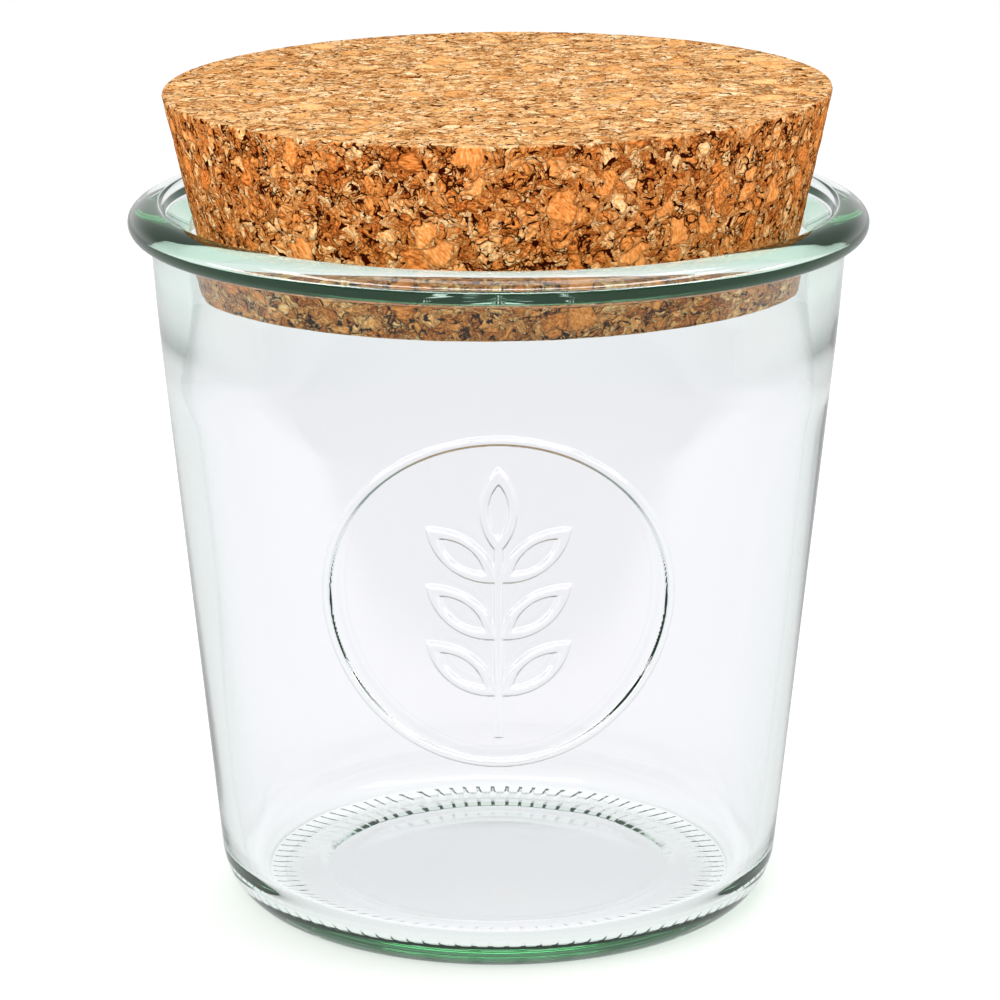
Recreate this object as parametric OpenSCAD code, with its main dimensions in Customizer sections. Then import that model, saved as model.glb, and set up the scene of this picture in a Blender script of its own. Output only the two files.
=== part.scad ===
// Glass preserving jar with a raised medallion on its tapered wall, closed by a cork plug.
// The origin is the centre of the ring that the jar stands on. +Z is up, and the medallion
// faces -Y. All sizes are in millimetres.

/* [Jar body] */
// Height of the glass, from the table to the crest of the rim
jar_h = 107; // [100:1:150]
// Outer diameter where the tapered wall meets the neck
body_d = 101.4; // [97:0.2:106]
// Outer diameter of the tapered wall's cone at the height of the heel's curve
foot_d = 85.4; // [82:0.2:94]
// Thickness of the tapered wall
wall_t = 3.2; // [2.2:0.1:4.5]
// Thickness of the base in its middle
base_t = 2.8; // [2:0.1:6]
// Height of the neck, from the tapered wall up to the rim's underside
neck_h = 13.4; // [11:0.2:18]

/* [Heel and base] */
// How far the heel's curve goes in from the wall to the ring that the jar stands on
heel_w = 6.1; // [4:0.1:8]
// Height of the heel's curve
heel_h = 8.6; // [5:0.1:12]
// Width of the flat ring that the jar stands on
bearing_w = 3.2; // [2.4:0.1:5]
// How far the underside's shallow dome rises from that ring to its middle
push_up = 0.8; // [0.4:0.1:2]
// Radius of the curve between the floor and the wall inside the jar
floor_curve = 5.5; // [3:0.5:12]
// Diameter of the circle that the mould's plug leaves in the base
plug_mark_d = 52; // [36:1:56]
// Width of that circle's groove
plug_mark_w = 0.8; // [0.5:0.1:1.5]
// Depth of that circle's groove
plug_mark_depth = 0.15; // [0.1:0.05:0.4]
// Number of short radial grooves round the inner edge of the bearing ring
knurl_count = 90; // [24:1:96]
// Length of one radial groove
knurl_l = 3.4; // [1:0.1:3.6]
// Radius of one radial groove, which is also its depth
knurl_r = 0.3; // [0.2:0.05:0.4]
// Width of the plain ring outside the grooves
bearing_plain_w = 0.8; // [0.6:0.1:2]

/* [Mouth and rim] */
// Inner diameter of the mouth
mouth_d = 90.7; // [86:0.1:95]
// Thickness of the glass at the mouth, from its bore to the outside of the neck
finish_t = 6.3; // [5:0.1:8]
// How far the rim stands out from the neck
rim_out = 3.35; // [2.6:0.05:5]
// Thickness of the rim, from its underside to its crest
rim_h = 4.65; // [4:0.05:7]
// Height of the rim's widest line over its underside
rim_edge_h = 2; // [1.4:0.1:2.4]
// Radial size of the curve under the rim's widest line
rim_under_w = 1.9; // [1:0.1:2.2]
// Distance from the rim's widest line in to its crest
crest_w = 4.2; // [3:0.1:4.6]
// How square the rim's outer curve is, where 2 is an ellipse
rim_square = 2.35; // [2:0.05:3]
// Radius of the crest's inner side
crest_r = 1; // [0.6:0.1:1.2]
// Radial width of the step from the crest down to the sloping seat
step_w = 1.2; // [1.1:0.1:1.6]
// Depth of that step
step_h = 0.95; // [0.7:0.05:1.2]
// Depth of the mouth's rounded edge below the crest, at the centre of its curve
mouth_drop = 2.9; // [2.6:0.1:3.6]
// Radius of the mouth's rounded edge
mouth_edge_r = 0.8; // [0.5:0.1:1]
// Height of the straight bore below that edge
land_h = 7.6; // [4:0.1:9]
// Height of the inner shoulder, where the bore opens out to the wall
shoulder_h = 16; // [10:0.5:20]
// Radius of the fillet where the neck meets the rim's underside
neck_fillet = 0.6; // [0.3:0.1:1]

/* [Cork] */
// Height of the cork
cork_h = 28; // [24:0.1:40]
// How far the cork stands above the rim's crest
cork_stand = 17; // [10:0.5:20]
// Slope of the cork's side from the vertical, in degrees
cork_slope = 12.3; // [9:0.1:15]
// Radius of the curve on the cork's two edges
cork_edge_r = 0.5; // [0.3:0.1:1.5]
// Clearance between the cork's side and the mouth's rounded edge
cork_gap = 0.2; // [0.15:0.05:0.4]

/* [Medallion] */
// Outer diameter of the raised ring
medal_d = 50; // [40:1:54]
// Height of the ring's centre over the table
medal_z = 58.5; // [48:0.5:62]
// Width of the raised lines
line_w = 1.25; // [0.8:0.05:1.6]
// How far the raised lines stand out from the wall
relief_h = 0.55; // [0.3:0.05:0.8]
// How far the raised lines are rooted in the wall
relief_root = 0.6; // [0.4:0.1:1]
// Number of leaf pairs on the sprig
leaf_pairs = 3; // [2:1:3]
// Length of one leaf
leaf_l = 13; // [9:0.5:14]
// Width of one leaf
leaf_w = 5.4; // [4:0.1:6]
// Lean of the side leaves from the stem, in degrees
leaf_lean = 52; // [45:1:60]
// Distance along the stem from one pair of leaves to the next
leaf_step = 8.6; // [7.5:0.1:9]
// Length of the bare stem below the first pair
stem_foot = 6.5; // [3:0.5:7]

/* [Hidden] */
$fn = 96;

foot_r = foot_d / 2;
body_r = body_d / 2;
mouth_r = mouth_d / 2;
neck_r = mouth_r + finish_t;
rim_r = neck_r + rim_out;

rim_under_z = jar_h - rim_h;
body_z = rim_under_z - neck_h;
wall_slope = atan2(body_r - foot_r, body_z - heel_h);

// Angle on the heel's ellipse at which it runs into the sloping wall
heel_end = -atan(tan(wall_slope) * heel_h / heel_w);
heel_centre_r = wall_r(heel_h * (1 + sin(heel_end))) - heel_w * cos(heel_end);
bearing_in_r = heel_centre_r - bearing_w;
knurl_out_r = heel_centre_r - bearing_plain_w;

floor_z = push_up + base_t;
floor_centre_z = floor_z + floor_curve;
floor_centre_r = inner_r(floor_centre_z) - floor_curve / cos(wall_slope);

rim_edge_z = rim_under_z + rim_edge_h;
crest_line_r = rim_r - crest_w;
step_r = crest_line_r - step_w;
step_z = jar_h - step_h;
// Angle on the crest's inner curve at which the step down to the seat begins
crest_end = 150;

// The mouth's rounded edge is an arc round this point
mouth_edge_c = [mouth_r + mouth_edge_r, jar_h - mouth_drop];
land_z = mouth_edge_c[1] - land_h;
shoulder_z = land_z - shoulder_h;

// The seat's cone runs from the foot of the step down to touch the mouth's rounded edge
seat_run = [step_r, step_z] - mouth_edge_c;
seat_slope = atan2(seat_run[1], seat_run[0]) - asin(mouth_edge_r / norm(seat_run));

cork_top_z = jar_h + cork_stand;
cork_base_z = cork_top_z - cork_h;

large_steps = 18;
steps = 10;
small_steps = 5;

function wall_r(z) = foot_r + (z - heel_h) * tan(wall_slope);
function inner_r(z) = wall_r(z) - wall_t / cos(wall_slope);

// Height of the underside's dome at a radius
function dome_z(r) = push_up * (1 - pow(r / bearing_in_r, 2));

// Radius of the cork's side, which lies cork_gap clear of the mouth's rounded edge
function cork_r(z) = mouth_edge_c[0] - (mouth_edge_r + cork_gap) / cos(cork_slope)
    + (z - mouth_edge_c[1]) * tan(cork_slope);

// Points of an ellipse's arc round the centre c, from one angle to another
function arc(c, size_r, size_z, from, to, steps) =
    [for (i = [0:steps]) let (a = from + (to - from) * i / steps)
        c + [size_r * cos(a), size_z * sin(a)]];

// Points between the ends of a quarter arc that is squarer than an ellipse
function squared_arc(c, size_r, size_z, power, steps) =
    [for (i = [1:steps - 1]) let (a = 90 * i / steps)
        c + [size_r * pow(cos(a), 2 / power), size_z * pow(sin(a), 2 / power)]];

// Points of a smooth step from p to q, upright at both ends
function upright_step(p, q, steps) =
    [for (i = [0:steps]) let (t = i / steps, s = (1 - cos(180 * t)) / 2)
        [p[0] + (q[0] - p[0]) * s, p[1] + (q[1] - p[1]) * t]];

// Points along the dome from one radius to another
function dome(from, to, steps) =
    [for (i = [0:steps]) let (r = from + (to - from) * i / steps) [r, dome_z(r)]];

// The underside, from the axis over the plug's circle out to the bearing ring
underside_points = concat(
    dome(0, (plug_mark_d - plug_mark_w) / 2, steps),
    [[plug_mark_d / 2, dome_z(plug_mark_d / 2) + plug_mark_depth]],
    dome((plug_mark_d + plug_mark_w) / 2, bearing_in_r, small_steps));

// The outside, from the heel up the wall and neck and round the rim to the step in the mouth
outside_points = concat(
    arc([heel_centre_r, heel_h], heel_w, heel_h, -90, heel_end, steps),
    [[body_r, body_z]],
    arc([neck_r + neck_fillet, rim_under_z - neck_fillet], neck_fillet, neck_fillet,
        180, 90, small_steps),
    arc([rim_r - rim_under_w, rim_edge_z], rim_under_w, rim_edge_h, -90, 0, steps),
    squared_arc([crest_line_r, rim_edge_z], crest_w, rim_h - rim_edge_h,
        rim_square, large_steps),
    arc([crest_line_r, jar_h - crest_r], crest_r, crest_r, 90, crest_end, small_steps),
    [[step_r, step_z]]);

// The inside, from the mouth's rounded edge down the bore, shoulder and wall to the floor
inside_points = concat(
    arc(mouth_edge_c, mouth_edge_r, mouth_edge_r, 90 + seat_slope, 180, steps),
    upright_step([mouth_r, land_z], [inner_r(shoulder_z), shoulder_z], steps),
    arc([floor_centre_r, floor_centre_z], floor_curve, floor_curve,
        -wall_slope, -90, steps),
    [[0, floor_z]]);

// The wall's own cone between the heel and the neck, thickened by a skin
module wall_cone(skin) {
    skin_level = skin / cos(wall_slope);
    translate([0, 0, heel_h])
        cylinder(h = body_z - heel_h, r1 = foot_r + skin_level, r2 = body_r + skin_level);
}

// A flat drawing, thrown level onto the front of the wall as a raised skin
module raised_on_wall() {
    intersection() {
        difference() {
            wall_cone(relief_h);
            wall_cone(-relief_root);
        }
        translate([0, 0, medal_z]) rotate([90, 0, 0]) linear_extrude(body_d) children();
    }
}

// A pointed leaf standing on the drawing's origin, where two circles overlap
module leaf(l, w) {
    circle_r = (l * l + w * w) / (4 * w);
    translate([0, l / 2]) intersection() {
        translate([circle_r - w / 2, 0]) circle(circle_r);
        translate([w / 2 - circle_r, 0]) circle(circle_r);
    }
}

module leaf_outline() {
    inset = 2 * line_w;
    difference() {
        leaf(leaf_l, leaf_w);
        translate([0, inset]) leaf(leaf_l - 2 * inset, leaf_w - inset);
    }
}

module sprig() {
    stem_l = stem_foot + (leaf_pairs - 1) * leaf_step + leaf_step / 2;
    sprig_l = stem_l + leaf_l;
    translate([0, -sprig_l / 2]) {
        translate([-line_w / 2, 0]) square([line_w, stem_l + line_w]);
        translate([0, stem_l]) leaf_outline();
        for (i = [0:leaf_pairs - 1], side = [-1, 1])
            translate([0, stem_foot + i * leaf_step]) rotate(side * leaf_lean) leaf_outline();
    }
}

module medal_ring() {
    difference() {
        circle(d = medal_d);
        circle(d = medal_d - 2 * line_w);
    }
}

// Short half-round grooves across the inner part of the bearing ring
module knurls() {
    for (i = [0:knurl_count - 1])
        rotate([0, 0, 360 * i / knurl_count])
            translate([knurl_out_r - knurl_l, 0, 0])
                rotate([0, 90, 0]) cylinder(r = knurl_r, h = knurl_l);
}

module glass_jar() {
    color([0.74, 0.86, 0.80, 0.5]) {
        difference() {
            rotate_extrude()
                polygon(concat(underside_points, outside_points, inside_points));
            knurls();
        }
        raised_on_wall() medal_ring();
        raised_on_wall() sprig();
    }
}

// A cone's frustum that widens upwards, with each edge's curve touching face and side
module cork_lid() {
    top_c = [cork_r(cork_top_z) - cork_edge_r * (1 + sin(cork_slope)) / cos(cork_slope),
             cork_top_z - cork_edge_r];
    base_c = [cork_r(cork_base_z) - cork_edge_r * (1 - sin(cork_slope)) / cos(cork_slope),
              cork_base_z + cork_edge_r];
    color([0.80, 0.56, 0.35])
        rotate_extrude()
            polygon(concat(
                [[0, cork_base_z]],
                arc(base_c, cork_edge_r, cork_edge_r, -90, -cork_slope, small_steps),
                arc(top_c, cork_edge_r, cork_edge_r, -cork_slope, 90, small_steps),
                [[0, cork_top_z]]));
}

glass_jar();
cork_lid();
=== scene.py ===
# %% [markdown]
# # A glass preserving jar with a cork lid
# This lesson dresses a jar that was first drawn in CAD. The CAD model gives every piece its place,
# and here each piece gets the shape and the finish that the eye expects: clear glass that is green
# where it is thick, and cork pressed from granules. Everything is in metres, and the sizes below
# are written in millimetres and turned into metres by one factor.

import math

import bmesh
import bpy
import numpy as np
from mathutils import Matrix, Vector, noise


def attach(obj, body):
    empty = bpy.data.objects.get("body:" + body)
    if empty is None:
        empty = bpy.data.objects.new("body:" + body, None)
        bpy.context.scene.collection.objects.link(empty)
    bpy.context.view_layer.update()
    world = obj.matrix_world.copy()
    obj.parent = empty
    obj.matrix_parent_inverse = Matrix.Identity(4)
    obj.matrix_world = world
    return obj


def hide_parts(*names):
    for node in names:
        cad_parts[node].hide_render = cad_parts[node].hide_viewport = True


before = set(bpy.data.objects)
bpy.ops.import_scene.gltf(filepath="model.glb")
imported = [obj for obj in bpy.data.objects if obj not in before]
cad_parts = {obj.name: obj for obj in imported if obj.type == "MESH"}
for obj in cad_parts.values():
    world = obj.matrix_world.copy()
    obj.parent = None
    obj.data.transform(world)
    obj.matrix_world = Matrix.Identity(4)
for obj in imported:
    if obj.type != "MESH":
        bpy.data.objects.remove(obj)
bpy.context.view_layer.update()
MM = 0.001

# %% [markdown]
# ## The camera
# A product photo is taken from some way off, so that the jar's sides hardly lean together. The
# camera stands 0.66 m from the jar and looks down by 15 degrees. Its lens is given as a focal
# length in pixels of a square picture 1000 pixels wide, which is what a fit to a photo yields.

# %% Place the camera
PICTURE_PIXELS = 1000
FOCAL_PIXELS = 4212.85
CAMERA_PLACE = Vector((0, -0.61493, 0.23067))
LOOK_DOWN = 0.270

lens = bpy.data.cameras.new("lens")
lens.sensor_width = 36
lens.lens = FOCAL_PIXELS / PICTURE_PIXELS * lens.sensor_width
lens.shift_x = 0.0015
camera = bpy.data.objects.new("camera", lens)
camera.location = CAMERA_PLACE
camera.rotation_euler = (math.pi / 2 - LOOK_DOWN, 0, 0)
bpy.context.scene.collection.objects.link(camera)
bpy.context.scene.camera = camera
bpy.context.scene.view_settings.view_transform = "Standard"
print("lens in mm:", round(lens.lens, 1))

# %% [markdown]
# ## Small helpers for materials
# A material is a graph of nodes. Writing one takes the same three steps over and over: add a node,
# set its values, and plug sockets into it. One helper does all three. A value that is itself a
# socket is linked, and anything else is set on the socket.

# %% Node helpers
def add_node(tree, kind, values=None, **settings):
    """Adds a node. values gives its inputs by name or number: a socket is linked, the rest set."""
    node = tree.nodes.new(kind)
    for name, setting in settings.items():
        setattr(node, name, setting)
    for key, value in (values or {}).items():
        if isinstance(value, bpy.types.NodeSocket):
            tree.links.new(value, node.inputs[key])
        else:
            node.inputs[key].default_value = value
    return node


def arithmetic(tree, operation, *values, clamp=False):
    """A Math node's result for one, two or three values or sockets."""
    node = add_node(
        tree, "ShaderNodeMath", dict(enumerate(values)), operation=operation, use_clamp=clamp
    )
    return node.outputs[0]


def blend_values(tree, share, first, second):
    """A number between two others."""
    node = add_node(tree, "ShaderNodeMix", {0: share, 2: first, 3: second}, data_type="FLOAT")
    return node.outputs[0]


def blend_colours(tree, share, first, second, how="MIX"):
    """A colour between two others, or one laid over the other."""
    node = add_node(
        tree,
        "ShaderNodeMix",
        {0: share, 6: first, 7: second},
        data_type="RGBA",
        blend_type=how,
    )
    return node.outputs[2]


def smooth_range(tree, value, low, high, to_low=0.0, to_high=1.0):
    """Runs from to_low to to_high while value runs from low to high, softly at both ends."""
    node = add_node(
        tree,
        "ShaderNodeMapRange",
        {0: value, 1: low, 2: high, 3: to_low, 4: to_high},
        interpolation_type="SMOOTHSTEP",
    )
    return node.outputs[0]


def new_material(name):
    """An empty material and its graph, with the output node in place."""
    material = bpy.data.materials.new(name)
    material.use_nodes = True
    material.node_tree.nodes.clear()
    output = material.node_tree.nodes.new("ShaderNodeOutputMaterial")
    return material, material.node_tree, output


# %% [markdown]
# ## The studio
# Glass has hardly any colour of its own: it shows what stands around it. For a jar on white, the
# background is bright, so that the glass looks clear, and the rest of the room is dimmer, so that
# the rim and the heel, which mirror the room, turn dark and show their form. The world does both.
# It tells a ray that came straight through the glass from one that the glass has mirrored.

# %% World light
ROOM_LIGHT = 0.66
DARK_ROOM = (0.03, 0.085, 0.05, 1)
# a painted grey shade, which the glass sees on the floor in front and to the sides
PAINTED_GREY_ROOM = (0.50, 0.52, 0.52, 1)
GREEN_ROOM = (0.12, 0.20, 0.15, 1)
BRIGHT_STRIP = (13, 13, 13, 1)
PALE_ROOM = (0.96, 0.97, 0.98, 1)
DIM_ROOM = (0.34, 0.35, 0.36, 1)
WHITE = (1, 1, 1, 1)


def inside_and_outside_mirror(tree):
    """Whether a ray was mirrored within the glass, and whether it was mirrored on its outside."""
    path = add_node(tree, "ShaderNodeLightPath")
    mirrored = arithmetic(tree, "GREATER_THAN", path.outputs["Glossy Depth"], 0.5)
    entered = arithmetic(tree, "GREATER_THAN", path.outputs["Transmission Depth"], 0.5)
    within = arithmetic(tree, "MULTIPLY", mirrored, entered)
    return path, within, arithmetic(tree, "SUBTRACT", mirrored, within)


world = bpy.data.worlds.new("studio")
bpy.context.scene.world = world
world.use_nodes = True
room = world.node_tree
room.nodes.clear()
path, within, outside = inside_and_outside_mirror(room)
way = add_node(
    room, "ShaderNodeSeparateXYZ", {0: add_node(room, "ShaderNodeTexCoord").outputs["Generated"]}
)
behind = smooth_range(room, way.outputs["Y"], -0.2, 0.3)
low = smooth_range(room, way.outputs["Z"], 0.40, 0.06)
aside = arithmetic(room, "ABSOLUTE", way.outputs["X"])
middle = smooth_range(room, aside, 0.58, 0.25, 0.2, 1.0)
pale = arithmetic(room, "MULTIPLY", behind, low)
pale_middle = arithmetic(room, "MULTIPLY", pale, middle)
clear = arithmetic(
    room, "MAXIMUM", path.outputs["Is Glossy Ray"], path.outputs["Is Transmission Ray"]
)
colour = blend_colours(room, pale_middle, GREEN_ROOM, WHITE)
colour = blend_colours(room, clear, (ROOM_LIGHT,) * 3 + (1,), colour)
colour = blend_colours(room, within, colour, blend_colours(room, pale, DARK_ROOM, PALE_ROOM))
mirrored_room = blend_colours(room, pale, DIM_ROOM, WHITE)
for bottom, top in ((0.22, 0.40), (0.72, 0.84)):
    strip = arithmetic(
        room,
        "MULTIPLY",
        smooth_range(room, way.outputs["Z"], bottom, bottom + 0.03),
        smooth_range(room, way.outputs["Z"], top, top - 0.03),
    )
    in_front = smooth_range(room, way.outputs["Y"], 0.25, 0.05)
    strip = arithmetic(room, "MULTIPLY", strip, in_front)
    mirrored_room = blend_colours(room, strip, mirrored_room, BRIGHT_STRIP)
colour = blend_colours(room, outside, colour, mirrored_room)
colour = blend_colours(room, path.outputs["Is Camera Ray"], colour, WHITE)
sky = add_node(room, "ShaderNodeBackground", {"Color": colour, "Strength": 1.0})
add_node(room, "ShaderNodeOutputWorld", {"Surface": sky.outputs[0]})

# %% [markdown]
# The floor is a plain white sheet. It keeps the jar's soft shadow, because it is lit like
# everything else, and a little light of its own, which only the camera and the glass see, lifts
# it to the white of the background. The glass sees it mostly painted with light and shade rather
# than lit. Behind the jar it is pale, with a painted pool of light right under the jar. In front and
# to the sides it has a painted grey shade, which stands for the dim side of a room beyond a table's
# end. Rays mirrored inside the glass see it painted dark green in front and pale behind. Rays
# mirrored on the glass's outside see it painted grey.

# %% Floor
FLOOR_HALF = 4.0

sheet = bmesh.new()
bmesh.ops.create_grid(sheet, x_segments=1, y_segments=1, size=FLOOR_HALF)
floor_mesh = bpy.data.meshes.new("floor")
sheet.to_mesh(floor_mesh)
sheet.free()
floor = bpy.data.objects.new("floor", floor_mesh)
bpy.context.scene.collection.objects.link(floor)

white_sheet, tree, output = new_material("white_sheet")
path, within, outside = inside_and_outside_mirror(tree)
matt = add_node(tree, "ShaderNodeBsdfDiffuse", {"Color": (0.8, 0.8, 0.8, 1)})
seen = arithmetic(tree, "SUBTRACT", 1.0, path.outputs["Is Diffuse Ray"])
lift = add_node(
    tree, "ShaderNodeEmission", {"Strength": arithmetic(tree, "MULTIPLY", seen, 0.10)}
)
lit_sheet = add_node(tree, "ShaderNodeAddShader", {0: matt.outputs[0], 1: lift.outputs[0]})
spot_place = add_node(tree, "ShaderNodeNewGeometry").outputs["Position"]
spot = add_node(tree, "ShaderNodeSeparateXYZ", {0: spot_place})
near = smooth_range(tree, spot.outputs["Y"], -0.20, -0.07)
reach = arithmetic(tree, "ADD", arithmetic(tree, "ABSOLUTE", spot.outputs["Y"]), 0.25)
aside = arithmetic(tree, "DIVIDE", arithmetic(tree, "ABSOLUTE", spot.outputs["X"]), reach)
near_middle = arithmetic(tree, "MULTIPLY", near, smooth_range(tree, aside, 0.62, 0.26, 0.2, 1.0))
to_axis = add_node(tree, "ShaderNodeVectorMath", {0: spot_place}, operation="LENGTH")
# Painted pool of light: for the glass, the floor right under the jar is painted brighter than
# elsewhere.
painted_pool_under_jar = smooth_range(tree, to_axis.outputs["Value"], 0.055, 0.035)
bright = blend_colours(tree, painted_pool_under_jar, (1.03, 1.03, 1.04, 1), (1.22, 1.22, 1.23, 1))
# Painted shade: the glass sees the floor pale behind the jar and painted grey in front and to the
# sides.
tone = blend_colours(tree, near_middle, PAINTED_GREY_ROOM, bright)
# Painted reflections: rays mirrored inside the glass see the floor painted dark green in front and
# pale behind. Rays mirrored on its outside see it painted grey.
tone = blend_colours(tree, within, tone, blend_colours(tree, near, DARK_ROOM, PALE_ROOM))
tone = blend_colours(tree, outside, tone, (0.7, 0.7, 0.71, 1))
painted_floor_for_glass = add_node(tree, "ShaderNodeEmission", {"Color": tone})
share = arithmetic(tree, "MULTIPLY", path.outputs["Is Transmission Ray"], 0.9)
share = arithmetic(tree, "MAXIMUM", share, arithmetic(tree, "ADD", within, outside))
sheet_shader = add_node(
    tree, "ShaderNodeMixShader", {0: share, 1: lit_sheet.outputs[0], 2: painted_floor_for_glass.outputs[0]}
)
far = smooth_range(tree, to_axis.outputs["Value"], 0.5, 1.4)
far = arithmetic(tree, "MULTIPLY", far, path.outputs["Is Camera Ray"])
backdrop = add_node(tree, "ShaderNodeEmission", {"Color": WHITE})
sheet_shader = add_node(
    tree, "ShaderNodeMixShader", {0: far, 1: sheet_shader.outputs[0], 2: backdrop.outputs[0]}
)
tree.links.new(sheet_shader.outputs[0], output.inputs["Surface"])
floor_mesh.materials.append(white_sheet)

# %% [markdown]
# Three soft boxes light the cork: a broad one over the jar, and one on each side. They are wide,
# so that no shadow has a hard edge.

# %% Soft boxes
def soft_box(name, place, width, height, watts, aim=(0, 0, 0.08)):
    """A broad lamp that looks at a point of the jar."""
    light = bpy.data.lights.new(name, "AREA")
    light.shape = "RECTANGLE"
    light.size, light.size_y = width, height
    light.energy = watts
    box = bpy.data.objects.new(name, light)
    box.location = place
    box.rotation_euler = (Vector(aim) - Vector(place)).to_track_quat("-Z", "Y").to_euler()
    bpy.context.scene.collection.objects.link(box)
    return box


soft_box("top_box", (0.1, 0.25, 1.3), 0.9, 0.9, 9)
for side_box in (
    soft_box("left_box", (-0.95, -0.55, 0.6), 0.6, 0.6, 7),
    soft_box("right_box", (1.0, -0.35, 0.5), 0.6, 0.6, 5),
    soft_box("front_box", (-0.2, -1.1, 0.9), 0.7, 0.5, 8),
):
    side_box.visible_glossy = False
    side_box.visible_transmission = False

# %% [markdown]
# ## The glass jar: its section
# The jar is turned, so it is drawn as one half of its section and spun round the axis. The section
# is a line of corners, and each corner is rounded by bevelling its vertex. A bevel that takes all
# of the two short edges beside the corner leaves an arc that touches both, also where they differ
# in length, as on the heel. That keeps the drawing down to a handful of points.

# %% Sizes of the jar, in mm, as in the CAD source
JAR_H = 107.0
FOOT_R = 42.7
BODY_R = 50.7
BODY_Z = 88.95
HEEL_H = 8.6
WALL_T = 3.2
NECK_R = 51.65
RIM_R = 55.0
RIM_UNDER_Z = 102.35
RIM_EDGE_Z = 104.35
CREST_R = 50.8
MOUTH_R = 45.35
LIP_FOOT_Z = 102.4
FLOOR_Z = 3.6
DOME_H = 0.8
DOME_R = 33.34
KNURL_IN_R, KNURL_OUT_R = 32.34, 35.74
WALL_LEAN = math.atan2(BODY_R - FOOT_R, BODY_Z - HEEL_H)


def wall_outside(z):
    """Radius of the wall's outer face at a height."""
    return FOOT_R + (z - HEEL_H) * math.tan(WALL_LEAN)


def wall_inside(z):
    """Radius of the wall's inner face at a height."""
    return wall_outside(z) - WALL_T / math.cos(WALL_LEAN)


def underside(r):
    """Height of the base's shallow dome at a radius."""
    return DOME_H * (1 - (r / DOME_R) ** 2)


# radius, height, length of the rounding before the corner and after it, and its number of steps
SECTION = [
    *[(r, underside(r), 0, 0, 0) for r in (0, 5, 10, 15, 20, 25.6)],
    (26.0, underside(26) + 0.07, 0, 0, 0),
    *[(r, underside(r), 0, 0, 0) for r in (26.4, 30, KNURL_IN_R - 0.2, KNURL_IN_R, DOME_R)],
    *[(r, 0, 0, 0, 0) for r in (34.5, KNURL_OUT_R, KNURL_OUT_R + 0.2)],
    (41.84, 0, 5.3, 7.44, 12),
    (BODY_R, BODY_Z, 3, 3, 3),
    (NECK_R + 0.04, RIM_UNDER_Z, 0.6, 0.6, 4),
    (RIM_R, RIM_UNDER_Z, 1.9, 1.98, 8),
    (RIM_R, JAR_H - 0.05, 2.55, 4.1, 16),
    (50.22, JAR_H, 0.57, 0.57, 5),
    (49.6, 106.05, 0.2, 0.2, 3),
    (MOUTH_R, LIP_FOOT_Z, 0.584, 0.584, 6),
    (MOUTH_R, 93.0, 3.5, 5.5, 6),
    (wall_inside(82.5), 82.5, 5.0, 5.0, 6),
    (wall_inside(FLOOR_Z), FLOOR_Z, 5.0, 5.0, 12),
    (0, FLOOR_Z, 0, 0, 0),
]


# %% Draw the section and round its corners
def draw_section(corners):
    """A wire in the XZ plane through the corners, with each rounded corner bevelled."""
    wire = bmesh.new()
    places = [Vector((r, 0, z)) * MM for r, z, *_ in corners]
    rounded, line = [], []
    for i, (_, _, before, after, steps) in enumerate(corners):
        here = places[i]
        if not steps:
            line.append(wire.verts.new(here))
            continue
        back = (places[i - 1] - here).normalized() * before * MM
        ahead = (places[i + 1] - here).normalized() * after * MM
        line.append(wire.verts.new(here + back))
        line.append(wire.verts.new(here))
        rounded.append((line[-1], steps))
        line.append(wire.verts.new(here + ahead))
    for start, end in zip(line, line[1:]):
        wire.edges.new((start, end))
    for corner, steps in rounded:
        bmesh.ops.bevel(
            wire,
            geom=[corner],
            offset=99.99,
            offset_type="PERCENT",
            affect="VERTICES",
            segments=steps,
            profile=0.5,
            material=-1,
            clamp_overlap=False,
        )
    bmesh.ops.remove_doubles(wire, verts=wire.verts[:], dist=0.005 * MM)
    return wire


def divide_long_edges(wire, longest, keep=lambda middle: True):
    """Splits each edge whose middle passes keep into equal parts no longer than longest."""
    for edge in wire.edges[:]:
        middle = (edge.verts[0].co + edge.verts[1].co) / 2
        cuts = math.ceil(edge.calc_length() / longest) - 1
        if cuts > 0 and keep(middle):
            bmesh.ops.subdivide_edges(wire, edges=[edge], cuts=cuts)


MEDAL_Z = 58.5
MEDAL_R = 25.0
jar = draw_section(SECTION)
divide_long_edges(
    jar, 1.2 * MM, lambda p: p.x > 43 * MM and abs(p.z - MEDAL_Z * MM) < (MEDAL_R + 3) * MM
)
divide_long_edges(jar, 3.5 * MM)
print("points in the jar's section:", len(jar.verts))

# %% [markdown]
# ## Spin the section
# Spin turns the wire into a skin. A full spin would close on itself with use_merge, but its time
# grows with the square of its steps. So an eighth is spun here and copied round, and the seams and
# the two poles on the axis are closed by merging their doubles. Then the normals are worked out
# anew, because a spin can turn a shape inside out, and such glass bends light wrongly.

# %% Spin the jar
TURN_STEPS = 240
EIGHTHS = 8


def spin_closed(wire, steps):
    """Turns a wire round Z into a closed skin whose faces point outwards."""
    bmesh.ops.spin(
        wire,
        geom=wire.verts[:] + wire.edges[:],
        cent=(0, 0, 0),
        axis=(0, 0, 1),
        angle=math.tau / EIGHTHS,
        steps=steps // EIGHTHS,
    )
    for eighths in (1, 2, 4):
        copy = bmesh.ops.duplicate(wire, geom=wire.verts[:] + wire.edges[:] + wire.faces[:])
        bmesh.ops.rotate(
            wire,
            verts=[g for g in copy["geom"] if isinstance(g, bmesh.types.BMVert)],
            cent=(0, 0, 0),
            matrix=Matrix.Rotation(math.tau * eighths / EIGHTHS, 3, "Z"),
        )
    bmesh.ops.remove_doubles(wire, verts=wire.verts[:], dist=0.002 * MM)
    bmesh.ops.recalc_face_normals(wire, faces=wire.faces[:])


spin_closed(jar, TURN_STEPS)
print("faces of the plain jar:", len(jar.faces))


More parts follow.
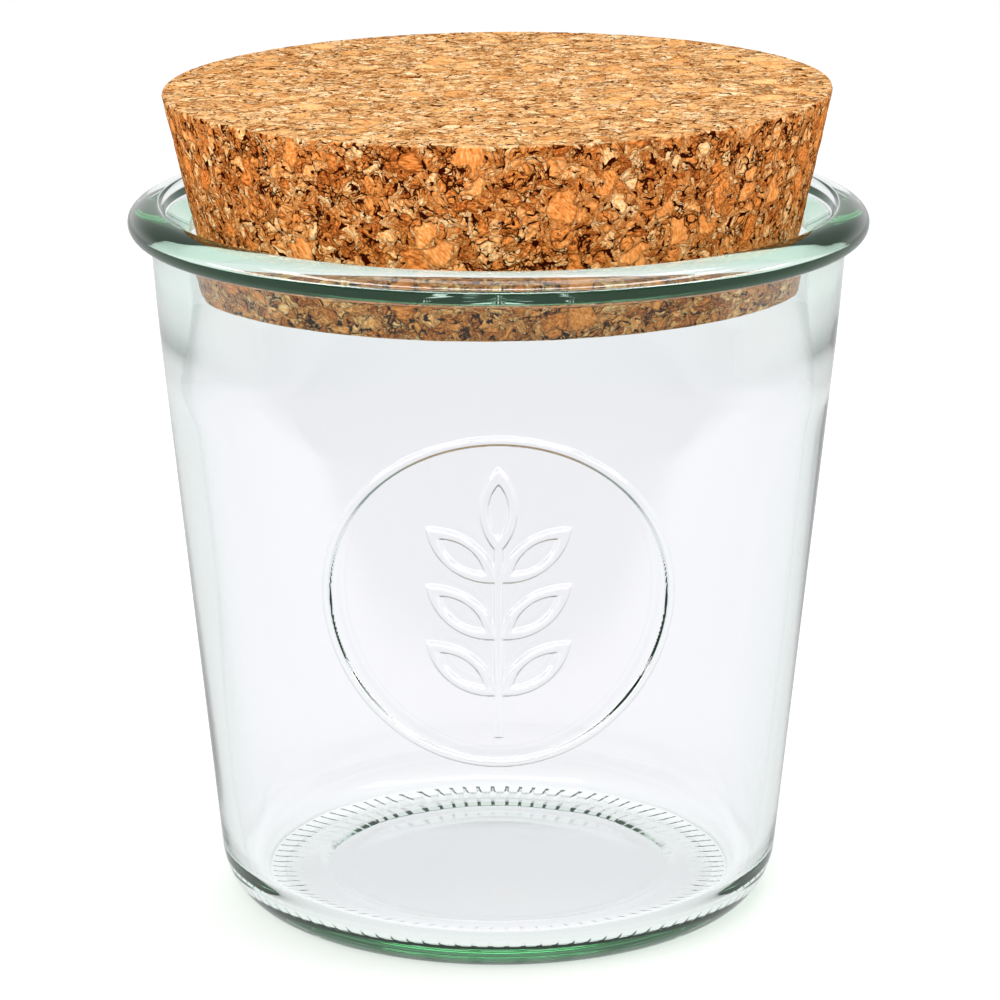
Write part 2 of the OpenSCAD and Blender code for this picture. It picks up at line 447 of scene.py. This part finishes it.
# %% [markdown]
# ## Waves in the glass
# Blown glass is never quite even: its inner face is left in soft upright waves, which the eye
# sees as pale streaks in the wall. Each point of the inner face moves along its radius by a sum
# of slow waves. The waves lean a little, so their crests don't run straight up.

# %% Wave the inner face
WAVES = [(5, 0.3, 0.035), (9, 1.9, 0.028), (14, 4.1, 0.02), (23, 2.6, 0.012)]


def wave(turn, z):
    """How far the inner face stands out at an angle and a height in mm."""
    swing = sum(size * math.sin(count * turn + start + 0.035 * z) for count, start, size in WAVES)
    fade = min(1, max(0, (z - 8) / 12)) * min(1, max(0, (101 - z) / 4))
    return swing * fade


for vert in jar.verts:
    z, r = vert.co.z / MM, math.hypot(vert.co.x, vert.co.y) / MM
    if r > 30 and FLOOR_Z + 3 < z < 101.5 and r < wall_outside(z) - WALL_T / 2:
        out = 1 + wave(math.atan2(vert.co.y, vert.co.x), z) / r
        vert.co.x, vert.co.y = vert.co.x * out, vert.co.y * out

# %% [markdown]
# ## Knurls under the base
# A jar's foot is pressed with a ring of short grooves, which let it slide over a belt while it is
# hot. Here the ring's faces are cut into narrow columns, and each groove pushes the points that it
# covers up into the glass, along half a circle.

# %% Press the knurls
KNURLS = 90
KNURL_R, KNURL_DEPTH = 0.3, 0.10


def ring_radius(point):
    """Distance from the axis in mm."""
    return math.hypot(point.x, point.y) / MM


ring = [
    e
    for e in jar.edges
    if all(v.co.z < 0.3 * MM for v in e.verts)
    and all(KNURL_IN_R - 0.25 < ring_radius(v.co) < KNURL_OUT_R + 0.25 for v in e.verts)
    and abs(ring_radius(e.verts[0].co) - ring_radius(e.verts[1].co)) < 0.01
]
bmesh.ops.subdivide_edges(jar, edges=ring, cuts=5, use_grid_fill=True)
pressed = 0
for vert in jar.verts:
    r = ring_radius(vert.co)
    if vert.co.z < 0.3 * MM and KNURL_IN_R - 0.01 < r < KNURL_OUT_R + 0.01:
        turn = math.atan2(vert.co.y, vert.co.x) / math.tau * KNURLS
        beside = abs(turn - round(turn)) / KNURLS * math.tau * r
        if beside < KNURL_R:
            vert.co.z += KNURL_DEPTH * math.sqrt(1 - (beside / KNURL_R) ** 2) * MM
            pressed += 1
print("edges cut:", len(ring), "points pressed:", pressed, "faces:", len(jar.faces))

# %% [markdown]
# ## The raised medallion
# The mould presses a ring with a leafy sprig into the wall. It could be laid on as strips, but
# real moulded lines grow out of the wall with a soft root. So the wall's own skin is divided more
# finely where the lines run, and its points are moved out. How deep a point lies inside a line
# says how far out it goes.

# %% Depth inside the medallion's lines
LINE_W = 1.35
RELIEF_H = 0.7
LEAF_L, LEAF_W, LEAF_LEAN = 13.0, 5.4, 52
LEAF_STEP, STEM_FOOT, LEAF_PAIRS = 8.6, 6.5, 3
STEM_L = STEM_FOOT + (LEAF_PAIRS - 1) * LEAF_STEP + LEAF_STEP / 2


def inside_leaf(across, along, length, width):
    """Depth inside a pointed leaf that stands on the origin, where two circles overlap."""
    radius = (length**2 + width**2) / (4 * width)
    sides = [
        radius - np.hypot(across - side * (radius - width / 2), along - length / 2)
        for side in (-1, 1)
    ]
    return np.minimum(*sides)


def inside_leaf_outline(across, along):
    """Depth inside a leaf's raised outline."""
    inset = 2 * LINE_W
    hollow = inside_leaf(across, along - inset, LEAF_L - 2 * inset, LEAF_W - inset)
    return np.minimum(inside_leaf(across, along, LEAF_L, LEAF_W), -hollow)


def inside_lines(across, up):
    """Depth inside the medallion's lines, in mm, at points of its flat drawing."""
    ring = LINE_W / 2 - np.abs(np.hypot(across, up) - (MEDAL_R - LINE_W / 2))
    up = up + (STEM_L + LEAF_L) / 2
    stem_middle = (STEM_L + LINE_W) / 2
    stem = np.minimum(LINE_W / 2 - np.abs(across), stem_middle - np.abs(up - stem_middle))
    depth = np.maximum(np.maximum(ring, stem), inside_leaf_outline(across, up - STEM_L))
    for pair in range(LEAF_PAIRS):
        for side in (-1, 1):
            lean = math.radians(side * LEAF_LEAN)
            rise = up - STEM_FOOT - pair * LEAF_STEP
            depth = np.maximum(
                depth,
                inside_leaf_outline(
                    across * math.cos(lean) + rise * math.sin(lean),
                    rise * math.cos(lean) - across * math.sin(lean),
                ),
            )
    return depth


def drawing_place(points):
    """Where points of the jar lie on the medallion's flat drawing, in mm."""
    return points[:, 0] / MM, points[:, 2] / MM - MEDAL_Z


# %% Divide the wall where the lines run, then raise them
def on_front_wall(point):
    """True for a point on the wall's outer face, within the medallion's window."""
    z = point.z / MM
    return (
        point.y < 0
        and abs(z - MEDAL_Z) < MEDAL_R + 2
        and abs(point.x) / MM < MEDAL_R + 2
        and math.hypot(point.x, point.y) / MM > wall_outside(z) - 0.3
    )


for margin in (1.6, 0.75, 0.35):
    front = [f for f in jar.faces if on_front_wall(f.calc_center_median())]
    middles = np.array([f.calc_center_median() for f in front])
    depth = inside_lines(*drawing_place(middles))
    chosen = [f for f, d in zip(front, depth) if d > -margin]
    edges = list({e for f in chosen for e in f.edges})
    bmesh.ops.subdivide_edges(jar, edges=edges, cuts=1, use_grid_fill=True)
    print("divided", len(chosen), "faces of the wall, now", len(jar.faces))

front = [v for v in jar.verts if on_front_wall(v.co)]
points = np.array([v.co for v in front])
depth = np.clip(inside_lines(*drawing_place(points)) / (LINE_W / 2), 0, 1)
raised = RELIEF_H * np.sqrt(1 - (1 - depth) ** 2)
for vert, out in zip(front, raised):
    z = vert.co.z / MM
    radius = wall_outside(z) + out / math.cos(WALL_LEAN)
    flat = Vector((vert.co.x, vert.co.y, 0)).normalized() * radius * MM
    vert.co.x, vert.co.y = flat.x, flat.y
print("points raised:", int((raised > 0).sum()))

# %% Finish the jar's mesh
def finish_piece(shape, name, body, node, material):
    """Turns a bmesh into a smooth piece that stands for a CAD node and rides on its body."""
    mesh = bpy.data.meshes.new(name)
    shape.to_mesh(mesh)
    shape.free()
    mesh.shade_smooth()
    mesh.materials.append(material)
    piece = bpy.data.objects.new(name, mesh)
    bpy.context.scene.collection.objects.link(piece)
    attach(piece, body)
    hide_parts(node)
    mesh.calc_loop_triangles()
    print(name, "triangles:", len(mesh.loop_triangles))
    return piece


# %% [markdown]
# ## Glass
# Soda glass bends light by 1.52 and takes a little red out of it on the way, so thick glass is
# green. A volume that absorbs does that for every length of way at once. The volume also gives off
# a faint green light of its own. This is a painted glow for light that is mirrored many times inside
# thick glass and that a render stops following. Light from lamps goes straight on through the glass,
# because tracing each bent ray back to a lamp takes too long.

# %% Glass material
def glass_material():
    material, tree, output = new_material("green_tinged_glass")
    shell = add_node(
        tree,
        "ShaderNodeBsdfPrincipled",
        {
            "Base Color": (0.995, 0.965, 1.0, 1),
            "Roughness": 0.0,
            "IOR": 1.52,
            "Transmission Weight": 1.0,
        },
    )
    path = add_node(tree, "ShaderNodeLightPath")
    let_through = add_node(tree, "ShaderNodeBsdfTransparent", {"Color": (0.82, 0.84, 0.83, 1)})
    to_matt = add_node(
        tree,
        "ShaderNodeMixShader",
        {0: path.outputs["Is Diffuse Ray"], 1: shell.outputs[0], 2: let_through.outputs[0]},
    )
    to_lamps = add_node(
        tree,
        "ShaderNodeMixShader",
        {0: path.outputs["Is Shadow Ray"], 1: to_matt.outputs[0], 2: let_through.outputs[0]},
    )
    tint = add_node(
        tree, "ShaderNodeVolumeAbsorption", {"Color": (0.15, 0.84, 0.38, 1), "Density": 12.0}
    )
    # Painted glow: the glass gives off a faint green light of its own where thick glass would guide
    # light round inside it.
    painted_green_glow = add_node(
        tree, "ShaderNodeEmission", {"Color": (0.30, 1.0, 0.45, 1), "Strength": 0.65}
    )
    absorption_and_painted_glow = add_node(
        tree, "ShaderNodeAddShader", {0: tint.outputs[0], 1: painted_green_glow.outputs[0]}
    )
    tree.links.new(to_lamps.outputs[0], output.inputs["Surface"])
    tree.links.new(absorption_and_painted_glow.outputs[0], output.inputs["Volume"])
    return material


glass_jar = finish_piece(jar, "jar_glass", "jar", "glass_jar", glass_material())

# %% [markdown]
# ## The cork
# The lid is a plug cut from a block of pressed cork granules, so it is turned too. Its skin is
# divided finely, because the granules stand a little in and out of it.

# %% Sizes of the cork and its section
CORK_TOP_Z = 124.0
CORK_BASE_Z = 96.0
CORK_SLOPE = math.radians(12.3)
CORK_TOP_R = 49.46
CORK_BASE_R = CORK_TOP_R - (CORK_TOP_Z - CORK_BASE_Z) * math.tan(CORK_SLOPE)
CORK_TURN_STEPS = 480

cork = draw_section(
    [
        (0, CORK_BASE_Z, 0, 0, 0),
        (CORK_BASE_R, CORK_BASE_Z, 0.6, 0.6, 3),
        (CORK_TOP_R, CORK_TOP_Z, 0.45, 0.45, 3),
        (0, CORK_TOP_Z, 0, 0, 0),
    ]
)
divide_long_edges(cork, 0.48 * MM, lambda p: p.x > CORK_BASE_R * MM)
divide_long_edges(cork, 0.7 * MM, lambda p: p.z > (CORK_TOP_Z - 1) * MM)
divide_long_edges(cork, 3 * MM)
spin_closed(cork, CORK_TURN_STEPS)
print("faces of the cork:", len(cork.faces))

# %% Mark the sawn faces
sawn_face = cork.verts.layers.float.new("sawn_face")
for vert in cork.verts:
    z = vert.co.z / MM
    vert[sawn_face] = 1.0 if z > CORK_TOP_Z - 0.1 or z < CORK_BASE_Z + 0.1 else 0.0
print("points on the sawn faces:", sum(vert[sawn_face] > 0 for vert in cork.verts))

# %% [markdown]
# ## Granules that stand out
# Granules tear out when cork is cut, so its skin is bumpy and its edge is a little ragged. Each
# point moves along its normal by two layers of noise: slow swells, and pits where the second
# layer dips low.

# %% Roughen the skin
SWELL, PIT_DEPTH = 0.12, 0.30

cork.normal_update()
for vert in cork.verts:
    place = vert.co / MM
    swell = SWELL * noise.noise(place * 0.45)
    pit = PIT_DEPTH * min(0.0, noise.noise(place * 0.8 + Vector((7, 3, 9))) + 0.3) * 2
    soft = 0.35 if vert[sawn_face] else 1.0
    vert.co += vert.normal * (swell + pit - 0.05) * soft * MM
print("points roughened:", len(cork.verts))

# %% Tilt the cork in the mouth
CORK_TILT = math.radians(0.6)
SEAT_Z = 104.1

bmesh.ops.rotate(
    cork,
    verts=cork.verts[:],
    cent=(0, 0, SEAT_Z * MM),
    matrix=Matrix.Rotation(-CORK_TILT, 3, "Y"),
)

# %% [markdown]
# ## Pressed cork
# Granules of many sizes and tones are pressed together, with dark gaps where they don't meet.
# Voronoi cells are the natural pattern for that. Cells of three sizes lie over each other: some of
# the large ones stay whole, and the others are broken into middling ones, and some of those into
# crumbs. Each granule gets one tone and a grain that runs its own way. On the side, each granule
# also gets a painted shade towards its edge, where its rounding turns from the light. The gaps
# follow the cells' edges and open where three granules meet.

# %% Granules of one size
def bend(tree, place, scale, reach):
    """A place moved by up to reach, so that straight edges become crooked."""
    drift = add_node(tree, "ShaderNodeTexNoise", {"Vector": place, "Scale": scale, "Detail": 1.0})
    centred = add_node(
        tree, "ShaderNodeVectorMath", {0: drift.outputs["Color"], 1: (0.5,) * 3}, operation="SUBTRACT"
    ).outputs[0]
    return add_node(
        tree,
        "ShaderNodeVectorMath",
        {0: centred, 1: (2 * reach,) * 3, 2: place},
        operation="MULTIPLY_ADD",
    ).outputs[0]


def granules(tree, place, size):
    """Three random numbers of each granule, and the way to its edge and from its middle in mm."""
    near = add_node(tree, "ShaderNodeTexVoronoi", {"Vector": place, "Scale": 1 / size}, feature="F1")
    rim = add_node(
        tree,
        "ShaderNodeTexVoronoi",
        {"Vector": place, "Scale": 1 / size},
        feature="DISTANCE_TO_EDGE",
    )
    return (
        add_node(tree, "ShaderNodeSeparateColor", {0: near.outputs["Color"]}).outputs,
        arithmetic(tree, "MULTIPLY", rim.outputs["Distance"], size),
        arithmetic(tree, "MULTIPLY", near.outputs["Distance"], size),
        near.outputs["Color"],
    )


def colour_ramp(tree, value, stops):
    """Colours by value, with the stops as a list of value and colour."""
    node = add_node(tree, "ShaderNodeValToRGB", {0: value})
    ramp = node.color_ramp
    while len(ramp.elements) < len(stops):
        ramp.elements.new(0.5)
    for element, (at, colour) in zip(ramp.elements, stops):
        element.position = at
        element.color = (*colour, 1)
    return node.outputs["Color"]


# %% Cork material
LARGE, MIDDLING, CRUMB = 3.3, 1.7, 0.85
SIDE_TONES = [
    (0.0, (0.31, 0.075, 0.014)),
    (0.15, (0.52, 0.150, 0.027)),
    (0.45, (0.67, 0.235, 0.056)),
    (0.75, (0.76, 0.325, 0.102)),
    (0.95, (0.82, 0.43, 0.165)),
    (1.0, (0.88, 0.56, 0.28)),
]
SAWN_TONES = [
    (0.0, (0.40, 0.15, 0.04)),
    (0.15, (0.60, 0.28, 0.09)),
    (0.5, (0.74, 0.38, 0.145)),
    (0.85, (0.85, 0.51, 0.235)),
    (1.0, (0.94, 0.70, 0.42)),
]
GAP_COLOUR = (0.03, 0.003, 0.0005, 1)
SAWN_GAP_COLOUR = (0.10, 0.025, 0.004, 1)


def cork_material():
    material, tree, output = new_material("pressed_cork")
    place = add_node(tree, "ShaderNodeTexCoord").outputs["Object"]
    in_mm = add_node(
        tree, "ShaderNodeVectorMath", {0: place, 3: 1 / MM}, operation="SCALE"
    ).outputs[0]
    bent = bend(tree, bend(tree, in_mm, 0.35, 1.6), 1.5, 0.35)
    large, large_edge, _, large_colour = granules(tree, bent, LARGE)
    middling, middling_edge, middling_way, middling_colour = granules(tree, bent, MIDDLING)
    crumb, crumb_edge, crumb_way, _ = granules(tree, bent, CRUMB)

    is_broken = arithmetic(tree, "GREATER_THAN", large["Green"], 0.14)
    is_crumbs = arithmetic(tree, "GREATER_THAN", middling["Green"], 0.6)
    tone = blend_values(tree, is_crumbs, middling["Red"], crumb["Red"])
    calm = arithmetic(tree, "MULTIPLY_ADD", large["Red"], 0.45, 0.15)
    tone = blend_values(tree, is_broken, calm, tone)
    edge = arithmetic(tree, "MINIMUM", middling_edge, arithmetic(tree, "MULTIPLY", crumb_edge, 1.6))
    edge = blend_values(tree, is_crumbs, middling_edge, edge)
    edge = blend_values(tree, is_broken, large_edge, arithmetic(tree, "MINIMUM", large_edge, edge))

    own_way = blend_colours(tree, is_broken, large_colour, middling_colour)
    turned = add_node(
        tree,
        "ShaderNodeVectorRotate",
        {"Vector": in_mm, "Axis": own_way, "Angle": arithmetic(tree, "MULTIPLY", tone, 9.0)},
    ).outputs[0]
    stretched = add_node(
        tree, "ShaderNodeVectorMath", {0: turned, 1: (1.0, 0.3, 1.0)}, operation="MULTIPLY"
    ).outputs[0]
    grain = add_node(
        tree, "ShaderNodeTexNoise", {"Vector": stretched, "Scale": 3.0, "Detail": 4.0}
    ).outputs["Fac"]
    sawn = add_node(tree, "ShaderNodeAttribute", attribute_name="sawn_face").outputs["Fac"]
    tone = arithmetic(
        tree, "MULTIPLY_ADD", arithmetic(tree, "SUBTRACT", grain, 0.5), 2.2, tone, clamp=True
    )
    colour = blend_colours(
        tree, sawn, colour_ramp(tree, tone, SIDE_TONES), colour_ramp(tree, tone, SAWN_TONES)
    )

    looseness = add_node(
        tree, "ShaderNodeTexNoise", {"Vector": in_mm, "Scale": 0.3, "Detail": 2.0}
    ).outputs["Fac"]
    gap_width = smooth_range(tree, looseness, 0.50, 0.72, 0.005, 0.12)
    meeting = smooth_range(tree, crumb_way, 0.55 * CRUMB, 0.9 * CRUMB, 0.0, 0.10)
    gap_width = arithmetic(tree, "ADD", gap_width, arithmetic(tree, "MULTIPLY", meeting, is_broken))
    gap = arithmetic(tree, "SUBTRACT", 1.0, arithmetic(tree, "DIVIDE", edge, gap_width), clamp=True)
    gap = smooth_range(tree, gap, 0.1, 0.7)
    gap = blend_values(tree, sawn, gap, arithmetic(tree, "MULTIPLY", gap, 0.65))
    pit = smooth_range(tree, crumb_way, 0.70 * CRUMB, 0.80 * CRUMB)
    gap = arithmetic(tree, "MAXIMUM", gap, arithmetic(tree, "MULTIPLY", pit, is_broken))
    # Painted shade: on the side, each granule is darkened towards its edge, where its rounding would
    # turn from the light, and lightened a little in its middle.
    painted_edge_shade = smooth_range(tree, edge, 0.0, 0.2, 0.7, 1.05)
    painted_edge_shade = blend_values(tree, sawn, painted_edge_shade, 1.0)
    colour = blend_colours(tree, 1.0, colour, painted_edge_shade, "MULTIPLY")
    colour = blend_colours(tree, gap, colour, blend_colours(tree, sawn, GAP_COLOUR, SAWN_GAP_COLOUR))

    rounding = smooth_range(tree, edge, 0.0, 0.45)
    level = arithmetic(tree, "MULTIPLY_ADD", grain, 0.35, rounding)
    level = arithmetic(tree, "MULTIPLY_ADD", middling["Blue"], 0.5, level)
    level = arithmetic(tree, "MULTIPLY_ADD", gap, -0.8, level)
    bump = add_node(
        tree, "ShaderNodeBump", {"Height": level, "Distance": 0.4 * MM, "Strength": 1.0}
    )
    skin = add_node(
        tree,
        "ShaderNodeBsdfPrincipled",
        {
            "Base Color": colour,
            "Roughness": 0.7,
            "Specular IOR Level": 0.0,
            "Normal": bump.outputs[0],
        },
    )
    tree.links.new(skin.outputs[0], output.inputs["Surface"])
    return material


cork_lid = finish_piece(cork, "cork_plug", "lid", "cork_lid", cork_material())
